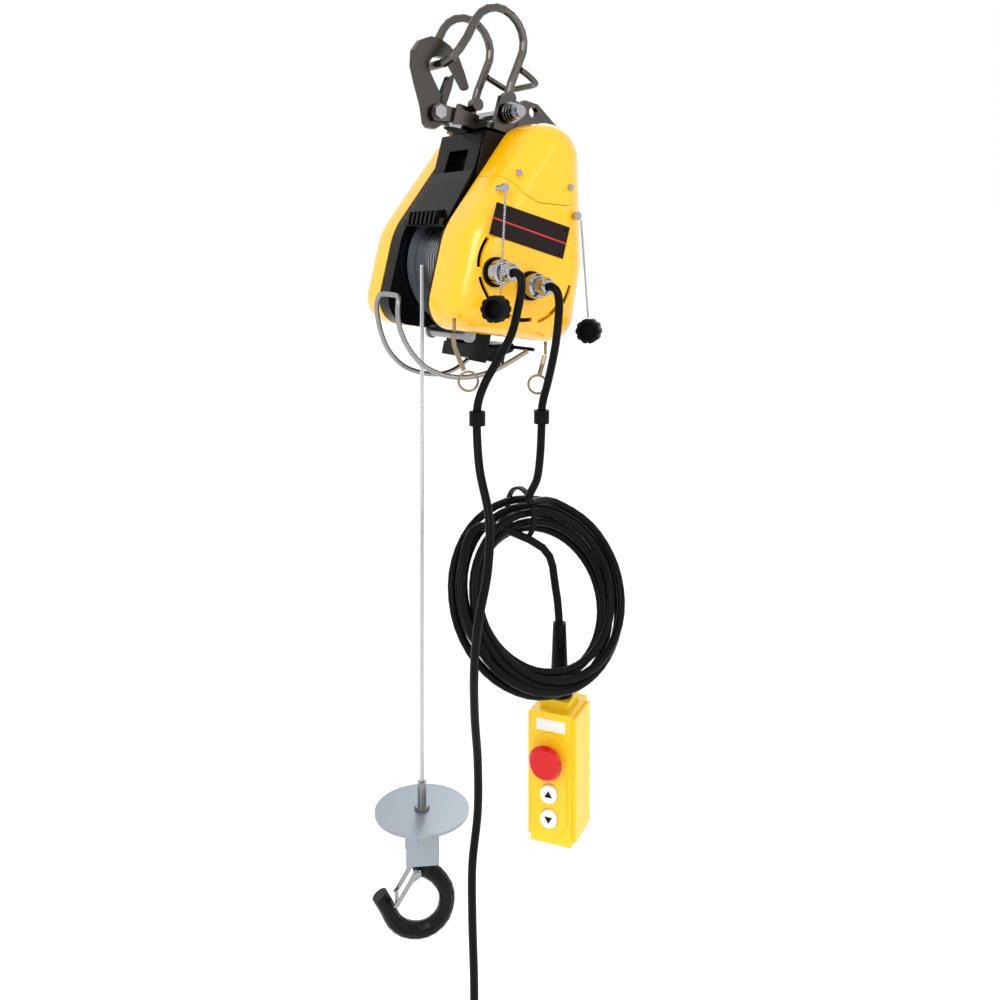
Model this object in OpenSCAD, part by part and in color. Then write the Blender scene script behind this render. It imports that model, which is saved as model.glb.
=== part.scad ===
// Suspended wire-rope hoist: hanger, frame, covers, drum train, rope, hook, limit lever, cables and pendant.
// Millimetres. +X is the drum axis towards the cable side, -Y is the front, +Z is up.
// The origin is the axis of the scaffold tube that the hanger sits on.

/* [Hang] */
// backward lean of the unloaded body, in degrees
hang_tilt = 13; // [0:0.5:16]
// clear diameter inside the hanger arches, for the scaffold tube
saddle_d = 59; // [50:1:66]
// diameter of the hanger rod
rod_d = 9; // [7:0.5:11]
// distance between the two arches
arch_gap = 60; // [50:1:70]

/* [Body] */
// depth of each yellow cover along the drum axis
cover_depth = 58; // [45:1:70]
// width of the black rim between the far plate and its cover
far_rim = 15; // [8:1:20]
// wall thickness of the covers
cover_wall = 2.5; // [1.5:0.5:4]
// half width of the slot between the frame plates
slot_half = 37; // [30:1:42]
// thickness of each frame plate
plate_t = 4; // [2:0.5:6]
// diameter of the vent slot ends
vent_w = 4; // [3:0.5:5]

/* [Drum] */
// radius of the drum flanges
flange_r = 67; // [60:1:72]
// outer radius of the wound rope
wind_r = 59; // [50:1:62]
// radius of the bare drum barrel
barrel_r = 40; // [32:1:45]
// diameter of the wire rope
rope_d = 4.5; // [3:0.5:6]
// height of the rope's end above the striker disc
rope_drop = 772; // [600:1:900]

/* [Gears] */
// gear module
gear_m = 1.5; // [1:0.25:2]
// teeth on each pinion
pinion_z = 12; // [10:1:16]
// teeth on each large gear
wheel_z = 48; // [40:1:54]

/* [Hook] */
// diameter of the limit striker disc
disc_d = 98; // [80:1:120]
// inner radius of the load hook bowl
bowl_r = 21; // [16:0.5:26]
// thickness of the load hook
hook_t = 17; // [12:1:22]

/* [Pendant] */
// width of the pendant housing
pendant_w = 50; // [48:1:64]
// height of the pendant housing
pendant_h = 128; // [110:1:150]
// depth of the pendant housing
pendant_d = 52; // [40:1:60]
// diameter of the emergency stop head
stop_d = 34; // [28:1:40]
// diameter of the push buttons
button_d = 17; // [14:1:22]

/* [Cables] */
// diameter of the cables
cable_d = 8; // [6:0.5:10]

/* [Hidden] */

// derived values
drum_y = 50;
drum_z = -228;
cover_x = slot_half + plate_t + 0.5;
far_x = cover_x + far_rim;
far_depth = cover_depth - far_rim;
hook_turn = 30;
bracket_h = 46;
face_x = cover_x + cover_depth;
lay_c = gear_m * (pinion_z + wheel_z) / 2;
c_t = cos(hang_tilt);
s_t = sin(hang_tilt);
drum_wy = drum_y * c_t + drum_z * s_t;
drum_wz = drum_z * c_t - drum_y * s_t;
rope_y = drum_wy - wind_r - rope_d / 2 - 0.1;
rope_x = -13;
hook_z = -rope_drop - 30;
hookpin_y = -39 * cos(hang_tilt) - 87 * sin(hang_tilt);
hookpin_z = -87 * cos(hang_tilt) + 39 * sin(hang_tilt);
pend_x = 120;
pend_y = 0;
pend_z = -656;
pend_turn = 15;
smooth_n = 48;

function unit(v) = v / norm(v);
function tangents(p) = [for (i = [0:len(p) - 1])
  unit(p[min(i + 1, len(p) - 1)] - p[max(i - 1, 0)])];
function flat(v, t) = unit(v - (v * t) * t);
function start_normal(t) = abs(t[2]) < 0.8 ? flat([0, 0, 1], t) : flat([1, 0, 0], t);
function normals(t) = [for (i = 0, n = start_normal(t[0]); i < len(t);
  i = i + 1, n = flat(n, t[min(i, len(t) - 1)])) n];
function spline_at(a, b, c, d, u) = 0.5 * ((2 * b) + (c - a) * u + (2 * a - 5 * b + 4 * c - d) * u * u
  + (3 * b - a - 3 * c + d) * u * u * u);
function smooth(p, k) = concat([for (i = [0:len(p) - 2]) for (j = [0:k - 1])
  spline_at(p[max(i - 1, 0)], p[i], p[i + 1], p[min(i + 2, len(p) - 1)], j / k)], [p[len(p) - 1]]);
function profile_arc(cy, cz, r, a0, a1, n) = [for (i = [0:n])
  [cy + r * cos(a0 + (a1 - a0) * i / n), cz + r * sin(a0 + (a1 - a0) * i / n)]];
function tooth_ring(z, m, clear) = [for (i = [0:z - 1]) for (j = [0:3])
  let (a = (i + [-0.34, -0.13, 0.13, 0.34][j]) * 360 / z,
    r = (j == 1 || j == 2) ? m * z / 2 + 0.8 * m - clear : m * z / 2 - 1.1 * m)
  [r * cos(a), r * sin(a)]];

module tube(p, r, n) {
  t = tangents(p);
  nn = normals(t);
  m = len(p);
  pts = [for (i = [0:m - 1]) for (k = [0:n - 1])
    p[i] + r * (cos(360 * k / n) * nn[i] + sin(360 * k / n) * cross(t[i], nn[i]))];
  side = [for (i = [0:m - 2]) for (k = [0:n - 1]) for (h = [0, 1])
    h == 0 ? [i * n + k, i * n + (k + 1) % n, (i + 1) * n + (k + 1) % n]
      : [i * n + k, (i + 1) * n + (k + 1) % n, (i + 1) * n + k]];
  caps = [[for (k = [n - 1:-1:0]) k], [for (k = [0:n - 1]) (m - 1) * n + k]];
  polyhedron(points = pts, faces = concat([for (f = side) [f[2], f[1], f[0]]],
    [for (f = caps) [for (k = [len(f) - 1:-1:0]) f[k]]]), convexity = 8);
}

// everything that leans with the body
module lean() {
  rotate([-hang_tilt, 0, 0]) children();
}

// a round bar along X
module bar_x(x0, x1, y, z, r) {
  translate([x0, y, z]) rotate([0, 90, 0]) cylinder(r = r, h = x1 - x0, $fn = 40);
}

// a flat outline in Y and Z, standing from x0 to x1
module slab_x(x0, x1) {
  translate([x0, 0, 0]) rotate([90, 0, 90]) linear_extrude(height = x1 - x0) children();
}

module ring_x(x0, x1, y, z, r_out, r_in) {
  difference() {
    bar_x(x0, x1, y, z, r_out);
    bar_x(x0 - 1, x1 + 1, y, z, r_in);
  }
}

// outline of the covers, moved in by an amount
LOBES = [[58, -115, 38], [48.5, -225, 75.5], [0, -277, 28], [97, -270, 28]];
function reach(c, u) = c[0] * u[0] + c[1] * u[1] + c[2];
function far_lobe(u) = let (m = max([for (c = LOBES) reach(c, u)]))
  [for (c = LOBES) if (reach(c, u) >= m - 0.000001) c][0];
function outline_pts(inset) = [for (a = [2.5:5:357.5])
  let (u = [cos(a), sin(a)], c = far_lobe(u), r = max(c[2] - inset, 1)) [c[0] + r * u[0], c[1] + r * u[1]]];

module outline(inset) {
  polygon(outline_pts(inset));
}

// share of the depth at which each step starts and ends, its inset, and the inset of the hollow inside it
STEPS = [[0, 0.62, 0, 2.5], [0.6, 0.8, 2, 7], [0.78, 0.92, 6, 14], [0.9, 0.97, 13, 24], [0.955, 1, 22, 200]];

module vent(a0, a1, r) {
  polygon(concat(profile_arc(40, -234, r + vent_w / 2, a0, a1, 8), profile_arc(40, -234, r - vent_w / 2, a1, a0, 8)));
}

module vents() {
  vent(158, 190, 54);
  vent(200, 232, 54);
  vent(238, 262, 50);
  vent(268, 292, 50);
  vent(300, 330, 54);
  vent(336, 356, 58);
}

module top_region() {
  polygon([[-60, -118], [-8, -140], [20, -162], [40, -166], [110, -150], [160, -146], [160, -40], [-60, -40]]);
}

module cover_step(s, holes) {
  difference() {
    outline(s[2]);
    if (s[3] < 100) {
      outline(s[3]);
    }
    if (s[1] > 0.95) {
      vents();
    }
    if (holes && s[1] > 0.95) {
      translate([2, -245]) circle(r = 11, $fn = 40);
      translate([47, -249]) circle(r = 11, $fn = 40);
    }
  }
}

module frame_plate() {
  lean() difference() {
    union() {
      slab_x(slot_half, slot_half + plate_t) difference() {
        outline(0.5);
        polygon([[-50, -92.7], [62, -92.7], [62, -40], [-50, -40]]);
      }
      slab_x(slot_half, slot_half + plate_t) polygon([[-2, -190], [2, -97], [48, -93], [60, -100], [60, -190]]);
    }
    bar_x(slot_half - 1, slot_half + plate_t + 1, drum_y, drum_z, 15);
  }
}

module frame_plate_far() {
  color("#151515") union() {
    mirror([1, 0, 0]) frame_plate();
    lean() slab_x(-far_x + 0.3, -slot_half - plate_t) difference() {
      outline(0.8);
      outline(5);
      polygon([[-50, -92.7], [62, -92.7], [62, -40], [-50, -40]]);
    }
  }
}

module frame_plate_near() {
  color("#151515") frame_plate();
}

module neck_block() {
  color("#151515") lean() difference() {
    slab_x(-slot_half, slot_half) polygon([[-2, -140], [2, -97], [48, -93], [56, -100], [56, -140], [46, -150]]);
    for (p = [[8, -112], [8, -128], [24, -120]]) {
      bar_x(-slot_half - 1, slot_half + 1, p[0], p[1], 2.5);
    }
    slab_x(-18, 18) polygon([[-10, -144], [-10, -116], [12, -116], [12, -144]]);
  }
}

module drum_shroud() {
  color("#181818") lean() union() {
    slab_x(-slot_half + 0.3, slot_half - 0.3) polygon([[-2.5, -140.3], [-7, -152], [-15, -176], [-22, -196],
      [-27, -197], [-27, -204], [-19, -204], [-11, -178], [-3, -152], [1, -140.3]]);
    for (i = [-3:3]) {
      slab_x(i * 8 - 1.5, i * 8 + 1.5) polygon([[-30, -190], [-19, -186], [-22, -204], [-30, -203]]);
    }
    slab_x(-slot_half + 0.3, slot_half - 0.3) polygon([[96, -118], [108, -150], [118, -185], [123, -220],
      [120, -220], [115, -185], [105, -151], [93, -119]]);
  }
}

module rope_guide_bar() {
  color("#9b9ea2") lean() union() {
    bar_x(-slot_half + 0.1, slot_half - 0.1, 32, -306, 5);
    bar_x(-slot_half + 0.1, -slot_half + 4, 32, -306, 7);
    bar_x(slot_half - 4, slot_half - 0.1, 32, -306, 7);
    bar_x(-slot_half + 0.1, slot_half - 0.1, 100, -282, 4);
  }
}

module limit_switch_box() {
  color("#1c1c1c") union() {
    lean() slab_x(-32, 30) polygon([[48, -313], [86, -313], [86, -327], [48, -327]]);
    lean() slab_x(-34, -26) polygon([[52, -300], [80, -300], [80, -313.5], [52, -313.5]]);
    lean() slab_x(26, 34) polygon([[42, -300], [60, -300], [60, -330], [42, -330]]);
    bar_x(-46, 55, 30, -322, 2);
    slab_x(-20, 20) polygon([[2, -318], [2, -334], [30, -327], [34, -322], [30, -318]]);
  }
}

module hanger_bracket() {
  color("#4a4a4c") lean() difference() {
    union() {
      slab_x(-slot_half, slot_half) polygon([[4, -92.5], [42, -92.5], [42, -86], [4, -86]]);
      for (x = [-41.2, 35]) {
        slab_x(x, x + 6.2) polygon([[10, -92.5], [36, -92.5], [36, -56], [12, -56]]);
      }
      slab_x(-14, 14) polygon([[-22, -92.5], [8, -92.5], [8, -77], [-22, -77]]);
    }
    bar_x(-50, 50, 24, -72, 5.05);
  }
}

module ear_plate() {
  color("#3a3835") lean() difference() {
    slab_x(29.4, 36.9) polygon([[42.3, -92.6], [42.3, -56], [46, -50], [64, -49], [110, -72], [112, -84],
      [100, -92.6]]);
    bar_x(20, 40, 60, -59, 6);
    bar_x(20, 40, 102, -82, 3);
  }
}

module swivel_nut() {
  color("#c8ccd0") lean() translate([0, -10, -96.5]) intersection() {
    cylinder(r = 14, h = 3.8, $fn = 6);
    cylinder(r1 = 12, r2 = 13.5, h = 3.8, $fn = 40);
  }
}

module hook_clevis() {
  color("#4a4a4c") lean() difference() {
    union() {
      for (x = [-9.6, 5.8]) {
        slab_x(x, x + 3.8) polygon([[-47, -84], [-42, -78], [-22.2, -77], [-22.2, -92], [-42, -97], [-47, -92]]);
      }
      slab_x(-9.6, 9.6) polygon([[-25, -77], [-22.2, -77], [-22.2, -92], [-25, -93]]);
    }
    bar_x(-20, 20, -39, -87, 4.05);
  }
}

module hinge_bolt() {
  color("#c9ccd0") lean() union() {
    bar_x(-46, 46, 24, -72, 5);
    for (i = [0:3]) {
      bar_x(46 + i * 3.4, 48 + i * 3.4, 24, -72, 11 - i);
    }
    bar_x(46, 64, 24, -72, 6);
    bar_x(-50, -46, 24, -72, 9);
  }
}

function arch_pts(x) = concat([[x, 15, -58], [x, 20, -42], [x, 30, -20]],
  [for (i = [0:9]) [x, 3 + (saddle_d + rod_d) / 2 * cos(-14 + i * 18), 2 + (saddle_d + rod_d) / 2 * sin(-14 + i * 18)]],
  [[x, -36, 1], [x, -46, -13]]);
function rod_path(h) = concat(arch_pts(-h), [[-h + 3, -54, -23], [-h + 12, -57, -27]],
  [[0, -57, -27], [h - 12, -57, -27], [h - 3, -54, -23]],
  [for (i = [len(arch_pts(h)) - 1:-1:0]) arch_pts(h)[i]]);

module arch_rod() {
  h = arch_gap / 2;
  color("#6f6a64") union() {
    tube(rod_path(h), rod_d / 2, 12);
    bar_x(-h - 4.9, -h + 6, 16.5, -58, 7);
    bar_x(h - 6, h + 4.9, 16.5, -58, 7);
  }
}

module carry_handle() {
  h = arch_gap / 2;
  color("#6f6a64") tube([[-h, 32.8, -26], [-h + 0.5, 42, -30], [-h + 3, 54, -36], [-h + 9, 59, -38], [0, 61, -38],
    [h - 9, 61, -38], [h - 3, 54, -36], [h - 0.5, 42, -30], [h, 32.8, -26]], 3.5, 10);
}

module flat_hook() {
  color("#4c4641") difference() {
    slab_x(-4, 4) polygon([[-70, -88], [-73, -70], [-80, -48], [-85, -30], [-84, -14], [-76, -3], [-64, 2],
      [-52, 1], [-40, -5], [-29, -15], [-22, -30], [-16, -46], [-18, -49], [-22, -48], [-32, -33], [-40, -22],
      [-48, -18], [-58, -18], [-66, -22], [-66, -32], [-58, -46], [-52, -56], [-44, -58], [-44, -66], [-48, -78],
      [-50, -88], [-58, -93], [-66, -92]]);
    bar_x(-5, 5, hookpin_y, hookpin_z, 4.05);
    bar_x(-5, 5, -48.5, -61.5, 2.2);
  }
}

module hook_bolt() {
  color("#b9bcc0") translate([0, hookpin_y, hookpin_z]) rotate([0, 90, 0]) union() {
    translate([0, 0, -9.8]) cylinder(r = 4, h = 19.6, $fn = 32);
    translate([0, 0, 9.7]) cylinder(r = 7.5, h = 4, $fn = 6);
    translate([0, 0, -13.7]) cylinder(r = 7.5, h = 4, $fn = 6);
  }
}

module hook_latch() {
  color("#8a8276") difference() {
    union() {
      for (x = [-5.6, 4.4]) {
        slab_x(x, x + 1.2) polygon([[-52, -63.5], [-51, -60], [-41, -37], [-38, -35], [-36, -38], [-39, -50],
          [-44.5, -64], [-48, -65.5]]);
      }
      bar_x(-5, 5, -39, -38, 1.3);
      bar_x(-5.7, 5.7, -48.5, -61.5, 2.1);
    }
  }
}

module far_cover() {
  color("#ffc60a") lean() mirror([1, 0, 0]) for (s = STEPS) {
    slab_x(far_x + s[0] * far_depth, far_x + s[1] * far_depth) cover_step(s, false);
  }
}

module near_cover() {
  color("#ffc60a") lean() for (s = STEPS) {
    slab_x(cover_x + s[0] * cover_depth, cover_x + s[1] * cover_depth) difference() {
      cover_step(s, true);
      top_region();
    }
  }
}

module near_top_cover() {
  color("#ffc60a") lean() union() {
    for (s = STEPS) {
      slab_x(cover_x + s[0] * cover_depth, cover_x + s[1] * cover_depth) intersection() {
        cover_step(s, true);
        translate([0, 0.7]) top_region();
      }
    }
    slab_x(cover_x, cover_x + 12) polygon([[56, -78.5], [62, -69], [80, -71], [90, -93]]);
  }
}

module cover_screw() {
  color("#b8bcc2") lean() for (p = [[face_x - 4.5, 12, -143], [face_x + 0.1, 76, -141], [cover_x + 12.7, 72, -74.5]]) {
    translate([p[0], p[1], p[2]]) rotate([0, 90, 0]) difference() {
      cylinder(r = 3.4, h = 1.8, $fn = 32);
      translate([-0.5, -4, 1.2]) cube([1, 8, 1]);
    }
  }
}

module nameplate() {
  color("#2b1c1a") lean() union() {
    slab_x(face_x + 0.1, face_x + 1.1) polygon([[-11, -179], [84, -181], [82, -214], [-13, -211]]);
    for (p = [[-7, -183], [80, -184.5], [78, -210], [-9, -207.5]]) {
      bar_x(face_x + 1, face_x + 2, p[0], p[1], 1.8);
    }
  }
}

module motor_stator() {
  color("#777a7d") lean() ring_x(cover_x + 1, cover_x + 34, drum_y, drum_z, 44, 28.6);
}

module motor_rotor() {
  color("#8f9296") lean() union() {
    bar_x(cover_x + 3, cover_x + 32, drum_y, drum_z, 28);
    bar_x(-cover_x - 36, cover_x + 42, drum_y, drum_z, 4);
    translate([-cover_x - 34, drum_y, drum_z]) rotate([90, 0, 90])
      linear_extrude(height = 12) polygon(tooth_ring(pinion_z, gear_m, 0.1));
  }
}

module lay_gear() {
  color("#8f9296") lean() translate([0, drum_y, drum_z + lay_c]) union() {
    translate([-cover_x - 32, 0, 0]) rotate([90, 0, 90]) rotate(180 / wheel_z)
      linear_extrude(height = 8) polygon(tooth_ring(wheel_z, gear_m, 0.1));
    translate([-cover_x - 24, 0, 0]) rotate([90, 0, 90]) rotate(180 / pinion_z)
      linear_extrude(height = 12) polygon(tooth_ring(pinion_z, gear_m, 0.1));
    bar_x(-cover_x - 40, -cover_x - 6, 0, 0, 4);
  }
}

module gear_case() {
  color("#6d7073") lean() difference() {
    slab_x(-cover_x - 42, -cover_x - 0.5) hull() {
      translate([drum_y, drum_z]) circle(r = 45, $fn = 60);
      translate([drum_y, drum_z + lay_c - 12]) circle(r = 30, $fn = 48);
    }
    slab_x(-cover_x - 39, -cover_x + 1) hull() {
      translate([drum_y, drum_z]) circle(r = 42, $fn = 60);
      translate([drum_y, drum_z + lay_c - 12]) circle(r = 27.6, $fn = 48);
    }
    slab_x(-cover_x - 39, -cover_x - 22) hull() {
      translate([drum_y, drum_z]) circle(r = 10, $fn = 60);
      translate([drum_y, drum_z + lay_c]) circle(r = 38.5, $fn = 60);
    }
    bar_x(-cover_x - 45, -cover_x + 1, drum_y, drum_z + lay_c, 4.05);
  }
}

module brake_unit() {
  color("#3d3f42") lean() ring_x(cover_x + 35, cover_x + 44.5, drum_y, drum_z, 32, 8);
}

module drum() {
  color("#a9b6c2") lean() difference() {
    union() {
      bar_x(-30, 30, drum_y, drum_z, barrel_r);
      bar_x(-33, -30, drum_y, drum_z, flange_r);
      bar_x(30, 33, drum_y, drum_z, flange_r);
      bar_x(-cover_x - 10, 38, drum_y, drum_z, 12);
      translate([-cover_x - 22, drum_y, drum_z]) rotate([90, 0, 90])
        linear_extrude(height = 8) polygon(tooth_ring(wheel_z, gear_m, 0.1));
      bar_x(-cover_x - 15, -cover_x - 8, drum_y, drum_z, 12);
    }
    bar_x(-cover_x - 50, 50, drum_y, drum_z, 6);
  }
}

module rope_winding() {
  color("#8d9094") lean() difference() {
    union() {
      bar_x(-29.5, 29.5, drum_y, drum_z, wind_r - 1);
      for (i = [0:12]) {
        translate([-27 + i * rope_d, drum_y, drum_z]) rotate([0, 90, 0]) cylinder(r = wind_r, h = 2, center = true, $fn = 64);
      }
    }
    bar_x(-31, 31, drum_y, drum_z, barrel_r);
  }
}

module drum_bearing() {
  color("#b8bcc2") lean() for (x = [-slot_half - plate_t, slot_half]) {
    difference() {
      bar_x(x, x + plate_t, drum_y, drum_z, 14.95);
      bar_x(x - 1, x + plate_t + 1, drum_y, drum_z, 12.05);
    }
  }
}

module load_rope() {
  color("#c3c6c8") translate([rope_x, rope_y, -rope_drop]) cylinder(d = rope_d, h = rope_drop + drum_wz, $fn = 16);
}

module rope_ferrule() {
  color("#cfd2d5") translate([rope_x, rope_y, hook_z + 2.5]) difference() {
    union() {
      cylinder(r = 4.6, h = 28, $fn = 32);
      cylinder(r = 8, h = 3, $fn = 6);
    }
    translate([0, 0, 24]) cylinder(d = rope_d + 0.3, h = 5, $fn = 32);
  }
}

module striker_disc() {
  color("#b9c0c6") translate([rope_x, rope_y, hook_z - 1]) difference() {
    cylinder(d = disc_d, h = 3, $fn = 96);
    translate([0, 0, -1]) cylinder(r = 4.6, h = 6, $fn = 32);
  }
}

module at_hook(drop) {
  translate([rope_x, rope_y, hook_z - drop]) rotate([0, 0, -hook_turn]) children();
}

module hook_bracket() {
  color("#aeb9c2") at_hook(1.2) difference() {
    union() {
      translate([-18, -17, -4]) cube([36, 34, 4]);
      for (x = [-18, 14]) {
        translate([x, -17, -bracket_h]) cube([4, 34, bracket_h]);
      }
      translate([-18, -15, -bracket_h]) cube([36, 30, 4]);
    }
    translate([0, 0, -bracket_h - 5]) cylinder(r = 6.05, h = 12, $fn = 40);
    translate([-20, 0, -18]) rotate([0, 90, 0]) cylinder(r = 3.05, h = 40, $fn = 32);
  }
}

module swivel_pin() {
  color("#8c9297") at_hook(19.2) rotate([0, 90, 0]) union() {
    translate([0, 0, -20]) cylinder(r = 3, h = 40, $fn = 32);
    translate([0, 0, -22]) cylinder(r = 5.5, h = 3.9, $fn = 6);
    translate([0, 0, 18.1]) cylinder(r = 5.5, h = 3.9, $fn = 6);
  }
}

module load_hook() {
  color("#141414") at_hook(94) difference() {
    union() {
      translate([0, 0, 42]) cylinder(r = 6, h = 18, $fn = 40);
      translate([0, 0, 51.5]) cylinder(r = 10, h = 5, $fn = 40);
      translate([0, 0, 36]) sphere(r = 10, $fn = 32);
      tube(smooth([[0, 0, 40], [0, 5, 33], [0, 15, 26], [0, 24, 13], [0, 26, 0], [0, 22, -15], [0, 11, -26],
        [0, -3, -30], [0, -18, -27], [0, -29, -18], [0, -35, -6], [0, -40, 3], [0, -44, 10]], 2), hook_t / 2, 12);
    }
    bar_x(-20, 20, -5, 36, 2.55);
  }
}

module load_latch() {
  color("#b8bcc0") at_hook(94) union() {
    for (x = [-13, 12]) {
      slab_x(x, x + 1) polygon([[-2, 40], [-9, 39], [-14, 30], [-27, 8], [-30, 4], [-25, 3], [-10, 27], [-1, 33]]);
    }
    slab_x(-13, 13) polygon([[-25, 8], [-28, 5], [-27, 3.6], [-24, 6]]);
    bar_x(-14, 14, -5, 36, 2.5);
  }
}

module limit_lever() {
  color("#9a958e") difference() {
    union() {
      tube(smooth([[-40, 27, -325], [-39, 14, -338], [-38, -4, -348], [-36, -24, -352], [-34, -46, -350],
        [-33, -72, -341], [-31, -92, -324], [-30, -103, -303], [-30, -108, -280], [-28, -107, -266],
        [-20, -106, -263], [-4, -106, -263], [11, -108, -264], [19, -112, -268], [20, -113, -281],
        [20, -110, -298], [22, -100, -318], [25, -84, -335], [31, -62, -345], [38, -38, -347], [44, -14, -342],
        [47, 8, -333], [49, 27, -324]], 2), 2.7, 10);
      bar_x(-43, -37, 30, -322, 4.5);
      bar_x(46, 52, 30, -322, 4.5);
    }
    bar_x(-60, 60, 30, -322, 2.05);
  }
}

module at_socket(i) {
  lean() translate([face_x, [2, 47][i], [-245, -249][i]]) rotate([0, 90, 0]) children();
}

module socket_flange() {
  color("#26282a") for (i = [0, 1]) {
    at_socket(i) difference() {
      union() {
        translate([0, 0, 0.1]) cylinder(r = 14.5, h = 3, $fn = 48);
        translate([0, 0, -11]) cylinder(r = 10.6, h = 13, $fn = 40);
        cylinder(r = 9.4, h = 8, $fn = 40);
      }
      translate([0, 0, 4]) cylinder(r = 6, h = 8, $fn = 32);
    }
  }
}

module coupling_nut() {
  difference() {
    union() {
      translate([0, 0, 4]) cylinder(r = 12.4, h = 10, $fn = 40);
      translate([0, 0, 14]) cylinder(r1 = 12, r2 = 10.5, h = 3, $fn = 40);
    }
    translate([0, 0, 3]) cylinder(r = 9.46, h = 12, $fn = 40);
    translate([0, 0, 14]) cylinder(r = 8, h = 5, $fn = 40);
  }
}

module coupling_nut_power() {
  color("#c9c6c0") at_socket(0) coupling_nut();
}

module coupling_nut_control() {
  color("#c9c6c0") at_socket(1) coupling_nut();
}

module cable_gland() {
  color("#b5b2ac") for (i = [0, 1]) {
    at_socket(i) difference() {
      union() {
        translate([0, 0, 8.4]) cylinder(r = 7.9, h = 12, $fn = 40);
        translate([0, 0, 20]) cylinder(r = 9.5, h = 8, $fn = 6);
        translate([0, 0, 26]) cylinder(r1 = 8.5, r2 = 6.5, h = 5, $fn = 40);
      }
      translate([0, 0, 22]) cylinder(d = cable_d + 0.2, h = 12, $fn = 32);
    }
  }
}

module chain_screw() {
  color("#c2c5c8") lean() for (p = [[face_x - 11.5, -4.5, -163, 10], [face_x + 0.1, 88, -168, 3]]) {
    bar_x(p[0], p[0] + p[3] + 1, p[1], p[2], 3);
    bar_x(p[0] + p[3], p[0] + p[3] + 3, p[1], p[2], 4.4);
  }
}

module dust_cap() {
  difference() {
    cylinder(r = 12.6, h = 14, $fn = 48);
    translate([0, 0, 3]) cylinder(r = 9, h = 12, $fn = 48);
    for (i = [0:9]) {
      rotate(i * 36) translate([14.2, 0, -1]) cylinder(r = 2.6, h = 16, $fn = 24);
    }
  }
}

module dust_cap_power() {
  color("#161616") translate([132, -73, -272]) rotate([0, 90, -38]) rotate([20, 0, 0]) dust_cap();
}

module dust_cap_control() {
  color("#161616") translate([108, 62, -300]) rotate([0, 90, -38]) rotate([15, 0, 0]) dust_cap();
}

module beads(a, b) {
  translate(a) rotate([0, acos(unit(b - a)[2]), atan2((b - a)[1], (b - a)[0])]) cylinder(r = 1.4, h = norm(b - a), $fn = 16);
}

module bead_chain_power() {
  color("#c6c9cc") beads([104, -43.5, -161], [131, -70, -257]);
}

module bead_chain_control() {
  color("#c6c9cc") beads([107.2, 50.5, -189], [108, 59, -285]);
}

module eye_bolt() {
  color("#a08a5c") for (p = [[86, -91, -289.5], [86, 21, -318]]) {
    translate(p) union() {
      rotate([0, 90, 52]) rotate_extrude($fn = 36) translate([5, 0]) circle(r = 1.4, $fn = 14);
      translate([0, 0, 4]) cylinder(r = 1.8, h = 3.2, $fn = 24);
    }
  }
}

module snap_hook() {
  color("#a08a5c") union() {
    tube([[86, -93, -297], [88, -92, -309], [93, -90, -321], [98, -88, -331]], 2.4, 10);
    tube([[86, 20, -325], [87, 16, -334], [90, 10, -343]], 2.4, 10);
    translate([102, -86, -341]) rotate([0, 90, -38]) rotate_extrude($fn = 40) translate([9, 0]) circle(r = 1.2, $fn = 14);
    translate([94, 4, -352]) rotate([0, 90, -38]) rotate_extrude($fn = 40) translate([9, 0]) circle(r = 1.2, $fn = 14);
  }
}

module cable_clamp() {
  color("#8f8a84") for (p = [[113, -83.5, -381], [109, -3, -388]]) {
    translate(p) difference() {
      cylinder(r = 7.6, h = 13, $fn = 36);
      translate([0, 0, -1]) cylinder(r = 5.6, h = 18, $fn = 36);
    }
  }
}

power_pts = [[125, -53.2, -239.2], [133, -53.2, -239.2], [140, -53.6, -243], [142.5, -54.5, -253], [140, -56, -270],
  [132, -58, -296], [122, -66, -320], [115, -76, -342], [113, -83, -362], [113, -84, -385], [126, -90, -420],
  [150, -97, -458], [160, -106, -500], [158, -115, -545], [148, -112, -590], [132, -100, -640], [120, -88, -690],
  [113, -83, -740], [110, -87, -790], [110, -87, -840], [110, -85, -900], [110, -85, -960], [108, -84, -1020],
  [104, -84, -1060], [100, -84, -1100], [100, -84, -1130]];
control_pts = [[125, -10.2, -253.2], [133, -10.2, -253.2], [140, -9.8, -257], [142.5, -9, -267], [139, -7, -286],
  [128, -2, -314], [117, -1, -345], [110, -3, -370], [109, -3, -390], [108, -4, -420], [104, -4, -440],
  [92, -1, -458]];

module power_cable() {
  color("#101010") tube(smooth(power_pts, 3), cable_d / 2, 10);
}

module power_plug() {
  color("#151515") translate([100, -84, -1130]) union() {
    translate([0, 0, -16]) cylinder(r1 = 12, r2 = 7, h = 16, $fn = 32);
    translate([0, 0, -46]) cylinder(r = 19, h = 30, $fn = 40);
    for (a = [0, 120, 240]) {
      rotate(a) translate([9, 0, -62]) cylinder(r = 3, h = 16, $fn = 24);
    }
  }
}

module control_cable() {
  color("#101010") tube(smooth(control_pts, 3), cable_d / 2, 10);
}

module cable_coil() {
  color("#101010") translate([100, 3, -560]) rotate([0, 0, -6]) rotate([0, 63, 0])
    rotate_extrude($fn = 72) translate([82, 0]) circle(r = 23, $fn = 20);
}

module cable_tie() {
  color("#0c0c0c") translate([63, 7, -487]) rotate([0, 0, 84]) ring_x(-2.5, 2.5, 0, 0, 26.5, 23.8);
}

module at_pendant() {
  translate([pend_x - 18, pend_y + 26, pend_z - 8]) rotate([0, 0, 30]) children();
}

module pendant_boot() {
  color("#111111") at_pendant() union() {
    translate([0, 0, 12]) cylinder(r1 = 9, r2 = 6.5, h = 60, $fn = 32);
    translate([0, 0, 0]) cylinder(r = 13, h = 12, $fn = 40);
  }
}

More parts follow.
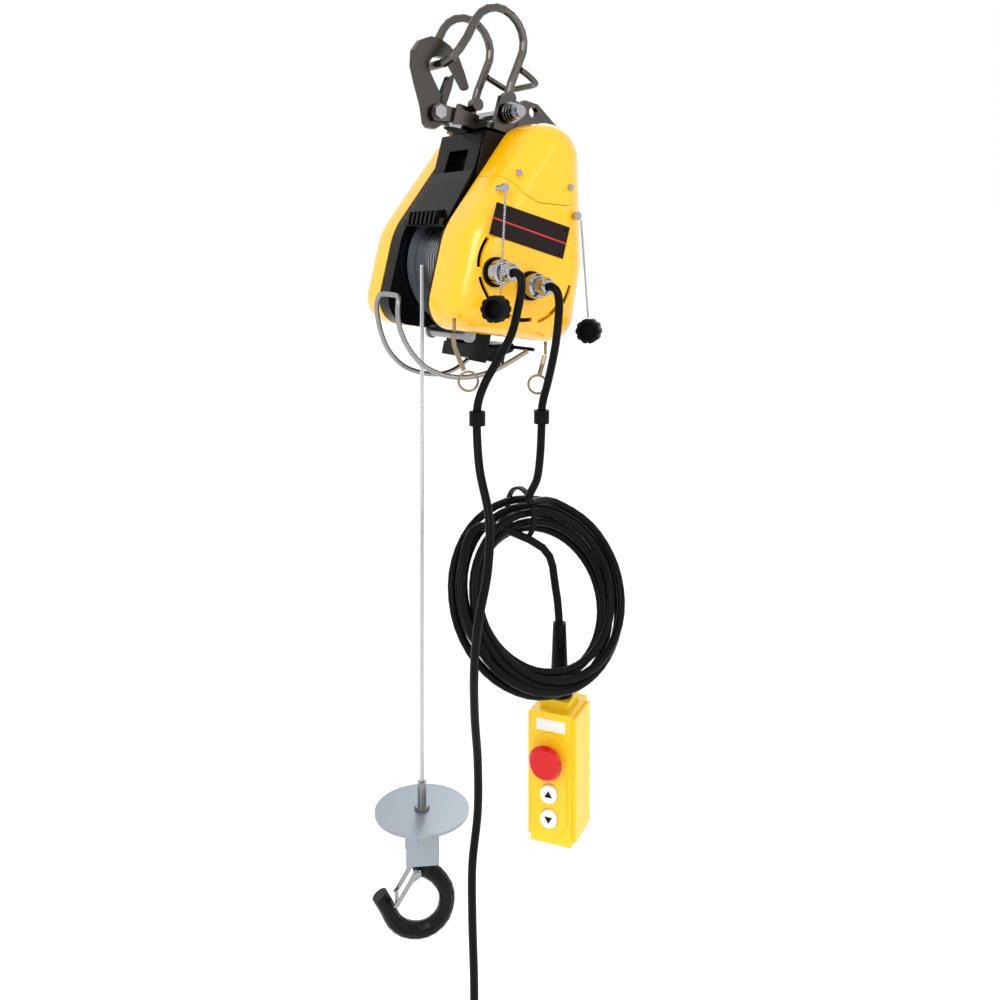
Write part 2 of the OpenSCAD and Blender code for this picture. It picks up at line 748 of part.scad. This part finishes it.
module pendant_housing() {
  color("#f7d117") at_pendant() difference() {
    union() {
      translate([-pendant_w / 2 + 4, -pendant_d / 2, -pendant_h - 8]) cube([pendant_w - 8, pendant_d, pendant_h]);
      translate([-pendant_w / 2, -pendant_d / 2 + 4, -pendant_h - 4]) cube([pendant_w, pendant_d - 8, pendant_h - 8]);
      translate([-15, -15, -9]) cube([30, 30, 9]);
    }
    for (i = [0:5]) {
      translate([pendant_w / 2 + 4, pendant_d / 2 + 2, -26 - i * 18]) cylinder(r = 8, h = 8, $fn = 32);
    }
    for (h = [[-50, 9.3, 4.5], [-85, button_d / 2 + 0.3, 3], [-109, button_d / 2 + 0.3, 3]]) {
      translate([0, -pendant_d / 2 - 1, h[0]]) rotate([-90, 0, 0]) cylinder(r = h[1], h = h[2] + 1, $fn = 48);
    }
  }
}

module pendant_pad() {
  color("#e8b90e") at_pendant() translate([0, -pendant_d / 2 - 0.05, 0]) rotate([90, 0, 0]) difference() {
    union() {
      translate([0, -46, 0]) cylinder(r = 19, h = 2.5, $fn = 60);
      translate([0, -110, 0]) cylinder(r = 17, h = 2.5, $fn = 60);
      translate([-17, -110, 0]) cube([34, 64, 2.5]);
    }
    for (h = [[-50, 9.3], [-85, button_d / 2 + 0.3], [-109, button_d / 2 + 0.3]]) {
      translate([0, h[0], -1]) cylinder(r = h[1], h = 5, $fn = 48);
    }
  }
}

module stop_head() {
  color("#d8242a") at_pendant() translate([0, -pendant_d / 2 - 2.6, -50]) rotate([90, 0, 0]) union() {
    translate([0, 0, 0.1]) cylinder(r = 9, h = 9, $fn = 40);
    translate([0, 0, 9]) cylinder(d1 = stop_d - 3, d2 = stop_d, h = 4, $fn = 60);
    translate([0, 0, 13]) cylinder(d1 = stop_d, d2 = stop_d - 6, h = 4, $fn = 60);
  }
}

module button(z) {
  at_pendant() translate([0, -pendant_d / 2 - 2.6, z]) rotate([90, 0, 0]) translate([0, 0, 0.1])
    cylinder(d = button_d, h = 4, $fn = 48);
}

module button_up() {
  color("#e9e9e4") button(-85);
}

module button_down() {
  color("#e9e9e4") button(-109);
}

frame_plate_far();
frame_plate_near();
neck_block();
drum_shroud();
rope_guide_bar();
limit_switch_box();
hanger_bracket();
ear_plate();
swivel_nut();
hook_clevis();
hinge_bolt();
arch_rod();
carry_handle();
flat_hook();
hook_bolt();
hook_latch();
far_cover();
near_cover();
near_top_cover();
cover_screw();
nameplate();
motor_stator();
motor_rotor();
lay_gear();
gear_case();
brake_unit();
drum();
rope_winding();
drum_bearing();
load_rope();
rope_ferrule();
striker_disc();
hook_bracket();
swivel_pin();
load_hook();
load_latch();
limit_lever();
socket_flange();
coupling_nut_power();
coupling_nut_control();
cable_gland();
chain_screw();
dust_cap_power();
dust_cap_control();
bead_chain_power();
bead_chain_control();
eye_bolt();
snap_hook();
cable_clamp();
power_cable();
power_plug();
control_cable();
cable_coil();
cable_tie();
pendant_boot();
pendant_housing();
pendant_pad();
stop_head();
button_up();
button_down();
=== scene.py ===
"""Suspended wire rope hoist: camera, cords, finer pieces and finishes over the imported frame. Metres."""
import math

import bmesh
import bpy
from mathutils import Matrix, Vector


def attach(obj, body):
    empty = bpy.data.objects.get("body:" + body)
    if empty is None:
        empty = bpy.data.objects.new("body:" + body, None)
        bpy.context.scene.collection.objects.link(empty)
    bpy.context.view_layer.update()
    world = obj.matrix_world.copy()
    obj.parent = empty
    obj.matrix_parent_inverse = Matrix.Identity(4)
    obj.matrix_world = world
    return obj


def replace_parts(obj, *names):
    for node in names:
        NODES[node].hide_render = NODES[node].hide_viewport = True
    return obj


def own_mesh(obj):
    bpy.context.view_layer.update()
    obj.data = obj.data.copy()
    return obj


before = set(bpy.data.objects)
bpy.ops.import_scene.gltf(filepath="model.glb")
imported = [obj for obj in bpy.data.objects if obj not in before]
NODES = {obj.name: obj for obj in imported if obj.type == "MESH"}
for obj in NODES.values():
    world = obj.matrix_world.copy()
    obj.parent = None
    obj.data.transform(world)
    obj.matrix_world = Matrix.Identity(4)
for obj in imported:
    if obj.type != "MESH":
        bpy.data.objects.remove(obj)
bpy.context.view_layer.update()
TILT = math.radians(13)


def lean(x, y, z):
    """A point of the upright body, in mm, as it hangs, in metres."""
    c, s = math.cos(TILT), math.sin(TILT)
    return Vector((x, y * c + z * s, z * c - y * s)) / 1000


def smooth(points, steps):
    """Catmull-Rom points through given ones."""
    p = [Vector(q) for q in points]
    out = []
    for i in range(len(p) - 1):
        a, b, c, d = p[max(i - 1, 0)], p[i], p[i + 1], p[min(i + 2, len(p) - 1)]
        for j in range(steps):
            u = j / steps
            out.append(0.5 * (2 * b + (c - a) * u + (2 * a - 5 * b + 4 * c - d) * u * u
                              + (3 * b - a - 3 * c + d) * u ** 3))
    return out + [p[-1]]


def link(name, data):
    obj = bpy.data.objects.new(name, data)
    bpy.context.scene.collection.objects.link(obj)
    return obj


def curve(name, points, radius, closed=False, sides=6):
    data = bpy.data.curves.new(name, "CURVE")
    data.dimensions = "3D"
    data.bevel_depth = radius
    data.bevel_resolution = sides
    data.use_fill_caps = not closed
    line = data.splines.new("POLY")
    line.points.add(len(points) - 1)
    for q, p in zip(line.points, points):
        q.co = (*p, 1)
    line.use_cyclic_u = closed
    line.use_smooth = True
    return link(name, data)


def mesh(name, verts, faces, smooth_shade=True):
    data = bpy.data.meshes.new(name)
    data.from_pydata([tuple(v) for v in verts], [], faces)
    data.validate()
    bm = bmesh.new()
    bm.from_mesh(data)
    bmesh.ops.recalc_face_normals(bm, faces=bm.faces)
    bm.to_mesh(data)
    bm.free()
    if smooth_shade:
        data.shade_smooth()
    return link(name, data)


# ---------- materials ----------
def finish_mat(name, colour, rough=0.4, metal=0.0, coat=0.0, bump=0.0, scale=200.0, vary=0.0, spec=0.5):
    m = bpy.data.materials.new(name)
    m.use_nodes = True
    tree = m.node_tree
    shader = tree.nodes["Principled BSDF"]
    shader.inputs["Base Color"].default_value = (*colour, 1)
    shader.inputs["Roughness"].default_value = rough
    shader.inputs["Metallic"].default_value = metal
    shader.inputs["Coat Weight"].default_value = coat
    shader.inputs["Specular IOR Level"].default_value = spec
    coord = tree.nodes.new("ShaderNodeTexCoord")
    noise = tree.nodes.new("ShaderNodeTexNoise")
    noise.inputs["Scale"].default_value = scale
    noise.inputs["Detail"].default_value = 4
    tree.links.new(coord.outputs["Object"], noise.inputs["Vector"])
    if vary:
        ramp = tree.nodes.new("ShaderNodeMapRange")
        ramp.inputs["To Min"].default_value = max(rough - vary, 0.02)
        ramp.inputs["To Max"].default_value = rough + vary
        tree.links.new(noise.outputs["Fac"], ramp.inputs["Value"])
        tree.links.new(ramp.outputs["Result"], shader.inputs["Roughness"])
    if bump:
        b = tree.nodes.new("ShaderNodeBump")
        b.inputs["Strength"].default_value = bump
        b.inputs["Distance"].default_value = 0.0005
        tree.links.new(noise.outputs["Fac"], b.inputs["Height"])
        tree.links.new(b.outputs["Normal"], shader.inputs["Normal"])
    return m


YELLOW = finish_mat("cover_yellow", (0.98, 0.5, 0.0), 0.25, coat=0.35, vary=0.05, scale=60)
PENDANT = finish_mat("pendant_yellow", (0.9, 0.58, 0.008), 0.38, bump=0.08, vary=0.06)
PENDANT_PAD = finish_mat("pendant_pad_yellow", (0.9, 0.56, 0.008), 0.42, bump=0.08)
BLACK = finish_mat("frame_black", (0.003, 0.003, 0.0035), 0.22, vary=0.06, scale=80, spec=0.15)
HANGER = finish_mat("dark_nickel", (0.11, 0.098, 0.088), 0.24, 1.0, vary=0.08, scale=90)
HOOKPLATE = finish_mat("hook_plate_steel", (0.07, 0.062, 0.056), 0.3, 1.0, vary=0.1, scale=90)
CHROME = finish_mat("chrome", (0.42, 0.42, 0.44), 0.12, 1.0, vary=0.05, scale=150)
STEEL = finish_mat("steel", (0.3, 0.31, 0.32), 0.3, 1.0, bump=0.05, vary=0.08)
ZINC = finish_mat("zinc", (0.3, 0.34, 0.38), 0.36, 0.85, bump=0.12, vary=0.1, scale=120)
ROPE = finish_mat("wire_rope", (0.62, 0.63, 0.64), 0.35, 0.9)
BRASS = finish_mat("worn_brass", (0.3, 0.22, 0.13), 0.28, 1.0, vary=0.1)
HOOKBLACK = finish_mat("hook_black", (0.003, 0.003, 0.0035), 0.28, bump=0.2, scale=60, spec=0.15)
RUBBER = finish_mat("cable_rubber", (0.004, 0.004, 0.0045), 0.3, bump=0.05, spec=0.07)
PLASTIC = finish_mat("black_plastic", (0.006, 0.006, 0.007), 0.45, bump=0.1, spec=0.07)
RED = finish_mat("stop_red", (0.6, 0.005, 0.005), 0.25, coat=0.1, spec=0.3)
STRIPE = finish_mat("stripe_red", (0.6, 0.01, 0.01), 0.4)
PLATE = finish_mat("plate_dark", (0.01, 0.004, 0.0035), 0.35, spec=0.15)
WHITE = finish_mat("button_white", (0.82, 0.82, 0.78), 0.3, coat=0.3)
GREY = finish_mat("cast_grey", (0.3, 0.31, 0.33), 0.5, 0.6, bump=0.2)

CAD_FINISH = {
    BLACK: ("frame_plate_far", "frame_plate_near", "neck_block", "drum_shroud", "limit_switch_box"),
    HANGER: ("hanger_bracket", "hook_clevis", "ear_plate", "carry_handle", "arch_rod"),
    HOOKPLATE: ("flat_hook", "hook_latch"),
    CHROME: ("hinge_bolt", "swivel_nut", "hook_bolt", "cover_screw", "chain_screw", "coupling_nut_power",
             "coupling_nut_control", "cable_gland", "drum_bearing"),
    STEEL: ("rope_guide_bar", "motor_stator", "motor_rotor", "lay_gear", "rope_ferrule", "swivel_pin",
            "load_latch", "limit_lever", "rope_winding", "bead_chain_power", "bead_chain_control"),
    ZINC: ("drum", "striker_disc", "hook_bracket"),
    GREY: ("gear_case", "brake_unit"),
    YELLOW: ("far_cover", "near_cover", "near_top_cover"),
    PLATE: ("nameplate",),
    HOOKBLACK: ("load_hook",),
    RUBBER: ("power_cable", "power_plug", "control_cable", "cable_coil", "pendant_boot", "cable_clamp"),
    PLASTIC: ("socket_flange", "dust_cap_power", "dust_cap_control", "cable_tie"),
    BRASS: ("eye_bolt", "snap_hook"),
    ROPE: ("load_rope",),
    PENDANT: ("pendant_housing",),
    PENDANT_PAD: ("pendant_pad",),
    RED: ("stop_head",),
    WHITE: ("button_up", "button_down"),
}
for material, names in CAD_FINISH.items():
    for name in names:
        data = NODES[name].data
        data.materials.clear()
        data.materials.append(material)


def place(obj, material, body="hoist_frame"):
    """Gives a piece its finish and the body it rides on."""
    obj.data.materials.append(material)
    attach(obj, body)
    return obj


# ---------- camera ----------
camera_data = bpy.data.cameras.new("camera")
camera_data.lens = 36
camera_data.sensor_width = 36
camera_data.shift_y = -0.25
camera = link("camera", camera_data)
camera.location = (0.868, -0.626, -0.218)
camera.rotation_euler = (math.radians(90), 0, math.radians(53))
bpy.context.scene.camera = camera

# ---------- cords ----------
CABLE_D = 0.008
MM = 0.001
power_line = smooth([Vector(p) * MM for p in [
    (125, -53.2, -239.2), (133, -53.2, -239.2), (140, -53.6, -243), (142.5, -54.5, -253), (140, -56, -270),
    (132, -58, -296), (122, -66, -320), (115, -76, -342),
    (113, -83, -362), (113, -84, -385), (126, -90, -420), (150, -97, -458), (160, -106, -500), (158, -115, -545),
    (148, -112, -590), (132, -100, -640), (120, -88, -690), (113, -83, -740), (110, -87, -790), (110, -87, -840),
    (110, -85, -900), (110, -85, -960), (108, -84, -1020), (104, -84, -1060), (100, -84, -1100),
    (100, -84, -1126)]], 8)
power = place(curve("power_cable_line", power_line, CABLE_D / 2), RUBBER)
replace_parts(power, "power_cable")

# the control cable runs down, round the tied coil, and out to the pendant
COIL_C = Vector((0.100, 0.003, -0.560))
COIL_R = 0.082
spin = Matrix.Rotation(math.radians(-6), 3, "Z") @ Matrix.Rotation(math.radians(63), 3, "Y")
TURNS = 7
COIL_STEPS = 48
offsets = [(12, 13), (-13, 9), (4, -17), (16, -3), (-4, 16), (-16, -5), (6, 2)]


def coil_point(t):
    """The cable's place t turns into the coil: it wanders between the turns' own offsets."""
    i = int(t) % len(offsets)
    u = t - int(t)
    u = u * u * (3 - 2 * u)
    a, b = offsets[i], offsets[(i + 1) % len(offsets)]
    r = COIL_R + (a[0] + (b[0] - a[0]) * u) * MM * 0.9
    h = (a[1] + (b[1] - a[1]) * u) * MM * 0.9
    angle = math.radians(180) - 2 * math.pi * t
    return COIL_C + spin @ Vector((r * math.cos(angle), r * math.sin(angle), h))


coil_pts = [coil_point(i / COIL_STEPS) for i in range(TURNS * COIL_STEPS + 1)]
lead = [Vector(p) * MM for p in [
    (125, -10.2, -253.2), (133, -10.2, -253.2), (140, -9.8, -257), (142.5, -9, -267), (139, -7, -286), (128, -2, -314),
    (117, -1, -345), (110, -3, -370), (109, -3, -390), (108, -4, -420), (103, -4, -444), (88, -2, -468)]]
tail = [Vector(p) * MM for p in [(84, 19, -520), (97, 25, -558), (102, 26, -596)]]
control_line = smooth(lead + coil_pts[3:-3:4] + tail, 4)
control = place(curve("control_cable_line", control_line, CABLE_D / 2), RUBBER)
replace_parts(control, "control_cable", "cable_coil")

# the load rope: six strands laid round a core, taut under the hook
ROPE_X, ROPE_Y = -0.013, -0.06392
ROPE_TOP, ROPE_END = -0.2334, -0.772
strand_r = 0.00085
verts, faces = [], []
RINGS = 420
for strand in range(7):
    base = len(verts)
    centre_r = 0.0014 if strand else 0.0
    for i in range(RINGS + 1):
        z = ROPE_TOP + (ROPE_END - ROPE_TOP) * i / RINGS
        turn = 2 * math.pi * (strand / 6 + (ROPE_TOP - z) / 0.028)
        cx, cy = ROPE_X + centre_r * math.cos(turn), ROPE_Y + centre_r * math.sin(turn)
        for k in range(6):
            a = 2 * math.pi * k / 6
            verts.append((cx + strand_r * math.cos(a), cy + strand_r * math.sin(a), z))
    for i in range(RINGS):
        for k in range(6):
            n = (k + 1) % 6
            faces.append((base + i * 6 + k, base + i * 6 + n, base + (i + 1) * 6 + n, base + (i + 1) * 6 + k))
    faces.append([base + k for k in range(6)])
    faces.append([base + RINGS * 6 + k for k in range(6)])
rope = place(mesh("load_rope_strands", verts, faces), ROPE)
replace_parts(rope, "load_rope")
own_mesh(rope)

# ---------- covers ----------
WALL = 2.5
COVER_COUNT = 144
LOBES = [(58, -115, 38), (48.5, -225, 75.5), (0, -277, 28), (97, -270, 28)]


def cover_outline(inset, count=COVER_COUNT):
    pts = []
    for i in range(count):
        a = 2 * math.pi * i / count
        u = (math.cos(a), math.sin(a))
        best = max(LOBES, key=lambda c: c[0] * u[0] + c[1] * u[1] + c[2])
        r = max(best[2] - inset, 1.0)
        pts.append((best[0] + r * u[0], best[1] + r * u[1]))
    # even spacing keeps the shading clean where the outline runs straight
    seg = [math.dist(pts[i], pts[(i + 1) % count]) for i in range(count)]
    total, out, i, run = sum(seg), [], 0, 0.0
    for k in range(count):
        goal = total * k / count
        while run + seg[i] < goal and i < count - 1:
            run += seg[i]
            i += 1
        u = (goal - run) / seg[i] if seg[i] else 0
        p, q = pts[i], pts[(i + 1) % count]
        out.append((p[0] + (q[0] - p[0]) * u, p[1] + (q[1] - p[1]) * u))
    return out


# share of the depth, then inset
ROUND = [(0, 0), (0.02, 0), (0.3, 0), (0.5, 0.4), (0.6, 1.2), (0.7, 3), (0.78, 5.5), (0.85, 9), (0.91, 13.5),
         (0.955, 18.5), (0.985, 22), (1.0, 25)]


def cover(name, side, start, depth):
    """A hollow cover whose rounded edge steps in along the drum's axis."""
    verts, faces = [], []
    rings = list(ROUND) + [(1.0, 28)] + [(1 - WALL / depth, 30)]
    rings += [(max(x - WALL / depth, 0), i + WALL) for x, i in reversed(ROUND[1:])] + [(0, WALL)]
    count = COVER_COUNT
    cap_at = len(ROUND)
    for x, inset in rings:
        for y, z in cover_outline(inset):
            verts.append(lean(side * (start + depth * x), y, z))
    for r in range(len(rings) - 1):
        if r == cap_at:
            continue
        for k in range(count):
            n = (k + 1) % count
            faces.append((r * count + k, r * count + n, (r + 1) * count + n, (r + 1) * count + k))
    last = (len(rings) - 1) * count
    for k in range(count):
        n = (k + 1) % count
        faces.append((last + k, last + n, n, k))
    faces.append([cap_at * count + k for k in range(count)])
    faces.append([(cap_at + 1) * count + k for k in range(count)])
    return mesh(name, verts, faces)


def cutter_slot(a0, a1, r, w=4.2):
    """A solid along the vent's arc that cuts through the near cover's outer face."""
    verts, faces, n = [], [], 14
    for i in range(n + 1):
        a = math.radians(a0 + (a1 - a0) * i / n)
        for x in (55, 112):
            for rr in (r - w / 2, r + w / 2):
                verts.append(lean(x, 40 + rr * math.cos(a), -234 + rr * math.sin(a)))
    for i in range(n):
        b = 4 * i
        for p, q in ((0, 1), (1, 3), (3, 2), (2, 0)):
            faces.append((b + p, b + q, b + 4 + q, b + 4 + p))
    faces += [(0, 1, 3, 2), (4 * n, 4 * n + 1, 4 * n + 3, 4 * n + 2)]
    return verts, faces


VENTS = [(158, 190, 54), (200, 232, 54), (238, 262, 50), (268, 292, 50), (300, 330, 54), (336, 356, 58)]
SEAM_GAP = 0.7
SEAM_LINE = [(-70, -112), (-8, -140), (8, -152), (20, -162), (40, -166), (75, -160), (110, -150), (160, -146)]


def prism(line, x0, x1):
    """A solid of the body frame's outline, between two places along the drum's axis."""
    verts = [lean(x, y, z) for x in (x0, x1) for y, z in line]
    n = len(line)
    faces = [list(range(n)), list(range(n, 2 * n))]
    faces += [(k, (k + 1) % n, n + (k + 1) % n, n + k) for k in range(n)]
    return verts, faces


def carve(obj, solids):
    """Cuts each solid out of the object, one after another."""
    for i, (verts, faces) in enumerate(solids):
        tool = mesh(f"tool_{obj.name}_{i}", verts, faces, False)
        mod = obj.modifiers.new("carve", "BOOLEAN")
        mod.operation = "DIFFERENCE"
        mod.solver = "EXACT"
        mod.object = tool
        bpy.context.view_layer.update()
        done = bpy.data.meshes.new_from_object(obj.evaluated_get(bpy.context.evaluated_depsgraph_get()))
        obj.modifiers.clear()
        obj.data = done
        bpy.data.objects.remove(tool)
    return obj


def tidy_shade(obj, angle=35):
    obj.data.shade_smooth()
    obj.data.set_sharp_from_angle(angle=math.radians(angle))
    return obj


def round_cut(y, z, r, x0=60, x1=115):
    n = 40
    return prism([(y + r * math.cos(2 * math.pi * k / n), z + r * math.sin(2 * math.pi * k / n)) for k in range(n)],
                 x0, x1)


above = SEAM_LINE + [(160, -20), (-70, -20)]
below = [(-70, -340), (160, -340)] + SEAM_LINE[::-1]
above_gap = [(y, z - SEAM_GAP if i < len(SEAM_LINE) else z) for i, (y, z) in enumerate(above)]
# the far cover stays uncut
far = cover("far_cover_shell", -1, 56.5, 43.0)
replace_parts(place(tidy_shade(far), YELLOW), "far_cover")
near = carve(cover("near_cover_shell", 1, 41.5, 58.0), [cutter_slot(*v) for v in VENTS]
             + [prism(above_gap, 30, 120), round_cut(2, -245, 11), round_cut(47, -249, 11)])
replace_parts(place(tidy_shade(near), YELLOW), "near_cover")
top = carve(cover("near_top_shell", 1, 41.5, 58.0), [prism(below, 30, 120)])
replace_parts(place(tidy_shade(top), YELLOW), "near_top_cover")

# ---------- small finer pieces ----------
BEADS, BEAD_R = 40, 0.0013
LEVER_R, HANDLE_R = 0.0026, 0.0035
for name, a, b in (("power", (104, -43.5, -161), (131, -70, -257)),
                   ("control", (107.2, 50.5, -189), (108, 59, -285))):
    a, b = Vector(a) * MM, Vector(b) * MM
    bm = bmesh.new()
    for i in range(BEADS + 1):
        bmesh.ops.create_uvsphere(bm, u_segments=8, v_segments=6, radius=BEAD_R,
                                  matrix=Matrix.Translation(a + (b - a) * i / BEADS))
    data = bpy.data.meshes.new(f"bead_chain_{name}_beads")
    bm.to_mesh(data)
    bm.free()
    data.shade_smooth()
    beads = link(f"bead_chain_{name}_beads", data)
    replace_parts(place(beads, CHROME), f"bead_chain_{name}")

lever_line = [(-40, 27, -325), (-39, 14, -338), (-38, -4, -348), (-36, -24, -352), (-34, -46, -350), (-33, -72, -341),
              (-31, -92, -324), (-30, -103, -303), (-30, -108, -280), (-28, -107, -266), (-20, -106, -263),
              (-4, -106, -263), (11, -108, -264), (19, -112, -268), (20, -113, -281), (20, -110, -298),
              (22, -100, -318), (25, -84, -335), (31, -62, -345), (38, -38, -347), (44, -14, -342), (47, 8, -333),
              (49, 27, -324)]
lever = place(curve("limit_lever_rod", smooth([Vector(p) * MM for p in lever_line], 5), LEVER_R), STEEL, "limit_arm")
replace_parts(lever, "limit_lever")
handle_line = [(-30, 32.8, -26), (-29.5, 42, -30), (-27, 54, -36), (-21, 59, -38), (0, 61, -38), (21, 59, -38),
               (27, 54, -36), (29.5, 42, -30), (30, 32.8, -26)]
handle = place(curve("carry_handle_rod", smooth([Vector(p) * MM for p in handle_line], 8), HANDLE_R), HANGER)
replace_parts(handle, "carry_handle")

stripe = mesh("nameplate_stripe", *prism([(-11.8, -194), (83.2, -197.5), (83.1, -199), (-11.9, -195.5)],
                                         100.5, 100.8), False)
place(stripe, STRIPE)

# pendant details, in the pendant's own axes
BUTTON_FACE = -32.95
PEND = Matrix.Translation((0.102, 0.026, -0.664)) @ Matrix.Rotation(math.radians(30), 4, "Z")


def on_pendant(verts):
    return [PEND @ (Vector(v) * MM) for v in verts]


def arrow(name, z, way):
    """A raised arrow on a button's face."""
    y = BUTTON_FACE
    v = [(-4, y, z - 2.5 * way), (4, y, z - 2.5 * way), (0, y, z + 4 * way)]
    v += [(p[0], y + 0.4, p[2]) for p in v]
    f = [(0, 1, 2), (3, 4, 5), (0, 1, 4, 3), (1, 2, 5, 4), (2, 0, 3, 5)]
    return mesh(name, on_pendant(v), f, False)


label_corners = [(x, y, z) for y in (-26.1, -25.9) for x, z in ((-15, -26), (15, -26), (15, -15), (-15, -15))]
label = mesh("pendant_label", on_pendant(label_corners),
             [(0, 1, 2, 3), (4, 5, 6, 7), (0, 1, 5, 4), (1, 2, 6, 5), (2, 3, 7, 6), (3, 0, 4, 7)], False)
place(label, WHITE)
place(arrow("arrow_up", -85, 1), PLASTIC, "button_up_body")
place(arrow("arrow_down", -109, -1), PLASTIC, "button_down_body")


def bevel(obj, width):
    mod = obj.modifiers.new("bevel", "BEVEL")
    mod.width = width
    mod.segments = 3
    mod.limit_method = "ANGLE"
    mod.angle_limit = math.radians(35)
    mod.harden_normals = False


for name, width in (("pendant_housing", 0.003), ("flat_hook", 0.0008), ("hook_clevis", 0.0008),
                    ("striker_disc", 0.0006), ("hook_bracket", 0.001), ("hanger_bracket", 0.0008), ("ear_plate", 0.0008), ("stop_head", 0.0015),
                    ("button_up", 0.0008), ("button_down", 0.0008), ("dust_cap_power", 0.001),
                    ("dust_cap_control", 0.001), ("neck_block", 0.001), ("drum_shroud", 0.0008)):
    bevel(NODES[name], width)

for name in ("arch_rod", "load_hook"):
    tidy_shade(NODES[name], 50)

# ---------- floor and light ----------
HALF, FLOOR_Z = 60, -1.75
floor = mesh("floor", [(-HALF, -HALF, FLOOR_Z), (HALF, -HALF, FLOOR_Z), (HALF, HALF, FLOOR_Z),
                       (-HALF, HALF, FLOOR_Z)], [(0, 1, 2, 3)], False)
FLOOR = finish_mat("floor_white", (0.9, 0.9, 0.9), 0.95, spec=0.0)
FLOOR.node_tree.nodes["Principled BSDF"].inputs["Emission Color"].default_value = (1, 1, 1, 1)
FLOOR.node_tree.nodes["Principled BSDF"].inputs["Emission Strength"].default_value = 0.25
floor.data.materials.append(FLOOR)
world = bpy.data.worlds.new("studio")
world.use_nodes = True
world.node_tree.nodes["Background"].inputs["Color"].default_value = (1, 1, 1, 1)
world.node_tree.nodes["Background"].inputs["Strength"].default_value = 1.0
bpy.context.scene.world = world
AIM = Vector((0, 0, -0.45))
for name, spot, power_w, size in (("key", (1.2, -2.2, 1.2), 26, 1.2), ("fill", (2.6, 0.6, 0.2), 10, 1.6),
                                  ("rim", (-1.5, 1.6, 1.2), 14, 1.0)):
    lamp = bpy.data.lights.new(name, "AREA")
    lamp.energy = power_w
    lamp.size = size
    light = link(name, lamp)
    light.location = spot
    light.rotation_euler = (AIM - Vector(spot)).to_track_quat("-Z", "Y").to_euler()
bpy.context.scene.view_settings.view_transform = "Standard"
